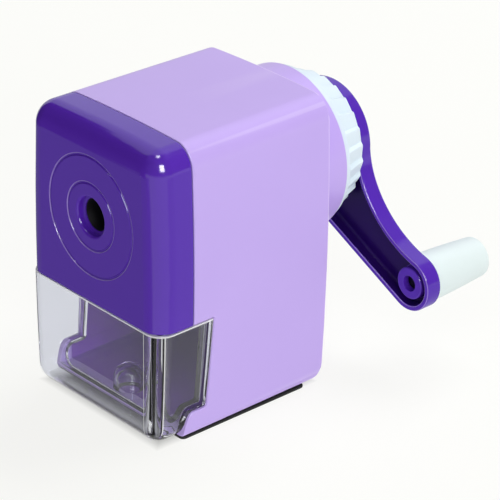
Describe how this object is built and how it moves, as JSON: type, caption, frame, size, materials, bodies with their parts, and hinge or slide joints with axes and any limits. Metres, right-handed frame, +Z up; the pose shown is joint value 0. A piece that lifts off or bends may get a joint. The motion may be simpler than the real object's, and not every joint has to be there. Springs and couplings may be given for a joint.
{
  "type": "hand-crank pencil sharpener",
  "caption": "Desk pencil sharpener: upright box casing with front cap, clear shavings drawer, rear crank with point dial, and a helical cutter rolling in a ring gear.",
  "frame": {"origin": "middle of the underside of the base pad", "axes": "+Z up, -Y towards the pencil hole and drawer, +Y towards the crank, +X to the right seen from the front"},
  "size_m": [0.0771, 0.1145, 0.0905],
  "materials": {
    "lilac_plastic": "satin gloss",
    "purple_plastic": "high gloss",
    "clear_plastic": "clear, polished",
    "white_plastic": "satin",
    "black_plastic": "satin",
    "rubber": "matt",
    "steel": "zinc plated",
    "tool_steel": "ground",
    "brass": "machined"
  },
  "bodies": {
    "body": {"casing": "lilac_plastic", "front_cap": "purple_plastic", "base_pad": "rubber", "pencil_guide": "black_plastic", "barrel": "black_plastic", "ring_gear": "brass", "rear_bearing": "black_plastic", "cap_screw_1": "steel", "cap_screw_2": "steel", "cap_screw_3": "steel", "cap_screw_4": "steel", "bearing_screw_1": "steel", "bearing_screw_2": "steel", "bearing_screw_3": "steel"},
    "drawer": {"drawer": "clear_plastic"},
    "crank": {"cutter_carrier": "black_plastic", "drive_shaft": "steel", "hub_set_screw": "steel", "dial_washer": "steel", "cutter_axle": "steel", "axle_clip": "steel", "crank_arm": "purple_plastic", "crank_screw": "steel", "hub_cap": "purple_plastic", "grip_pin": "steel"},
    "cutter": {"helical_cutter": "tool_steel", "cutter_pinion": "brass"},
    "dial": {"point_dial": "white_plastic"},
    "stop": {"stop_rod": "steel", "stop_cross_pin": "steel"},
    "grip": {"grip": "white_plastic"}
  },
  "joints": [
    {"name": "drawer_slide", "type": "slide", "parent": "body", "child": "drawer", "axis": [0, -1, 0], "range_m": [0, 0.042]},
    {"name": "crank_turn", "type": "hinge", "parent": "body", "child": "crank", "pos_m": [0, 0.04615, 0.0631], "axis": [0, 1, 0], "continuous": true},
    {"name": "cutter_spin", "type": "hinge", "parent": "crank", "child": "cutter", "pos_m": [0, -0.01499, 0.07425], "axis": [0, 0.9833, -0.1822], "continuous": true},
    {"name": "dial_turn", "type": "hinge", "parent": "crank", "child": "dial", "pos_m": [0, 0.04615, 0.0631], "axis": [0, 1, 0], "range_deg": [0, 120]},
    {"name": "stop_slide", "type": "slide", "parent": "crank", "child": "stop", "axis": [0, 1, 0], "range_m": [-0.002, 0]},
    {"name": "grip_spin", "type": "hinge", "parent": "crank", "child": "grip", "pos_m": [0.03963, 0.06915, 0.02913], "axis": [0, 1, 0], "continuous": true}
  ],
  "couplings": [
    {"joint": "cutter_spin", "follows": "crank_turn", "ratio": -3.75},
    {"joint": "stop_slide", "follows": "dial_turn", "m_per_rad": -0.0009549}
  ]
}
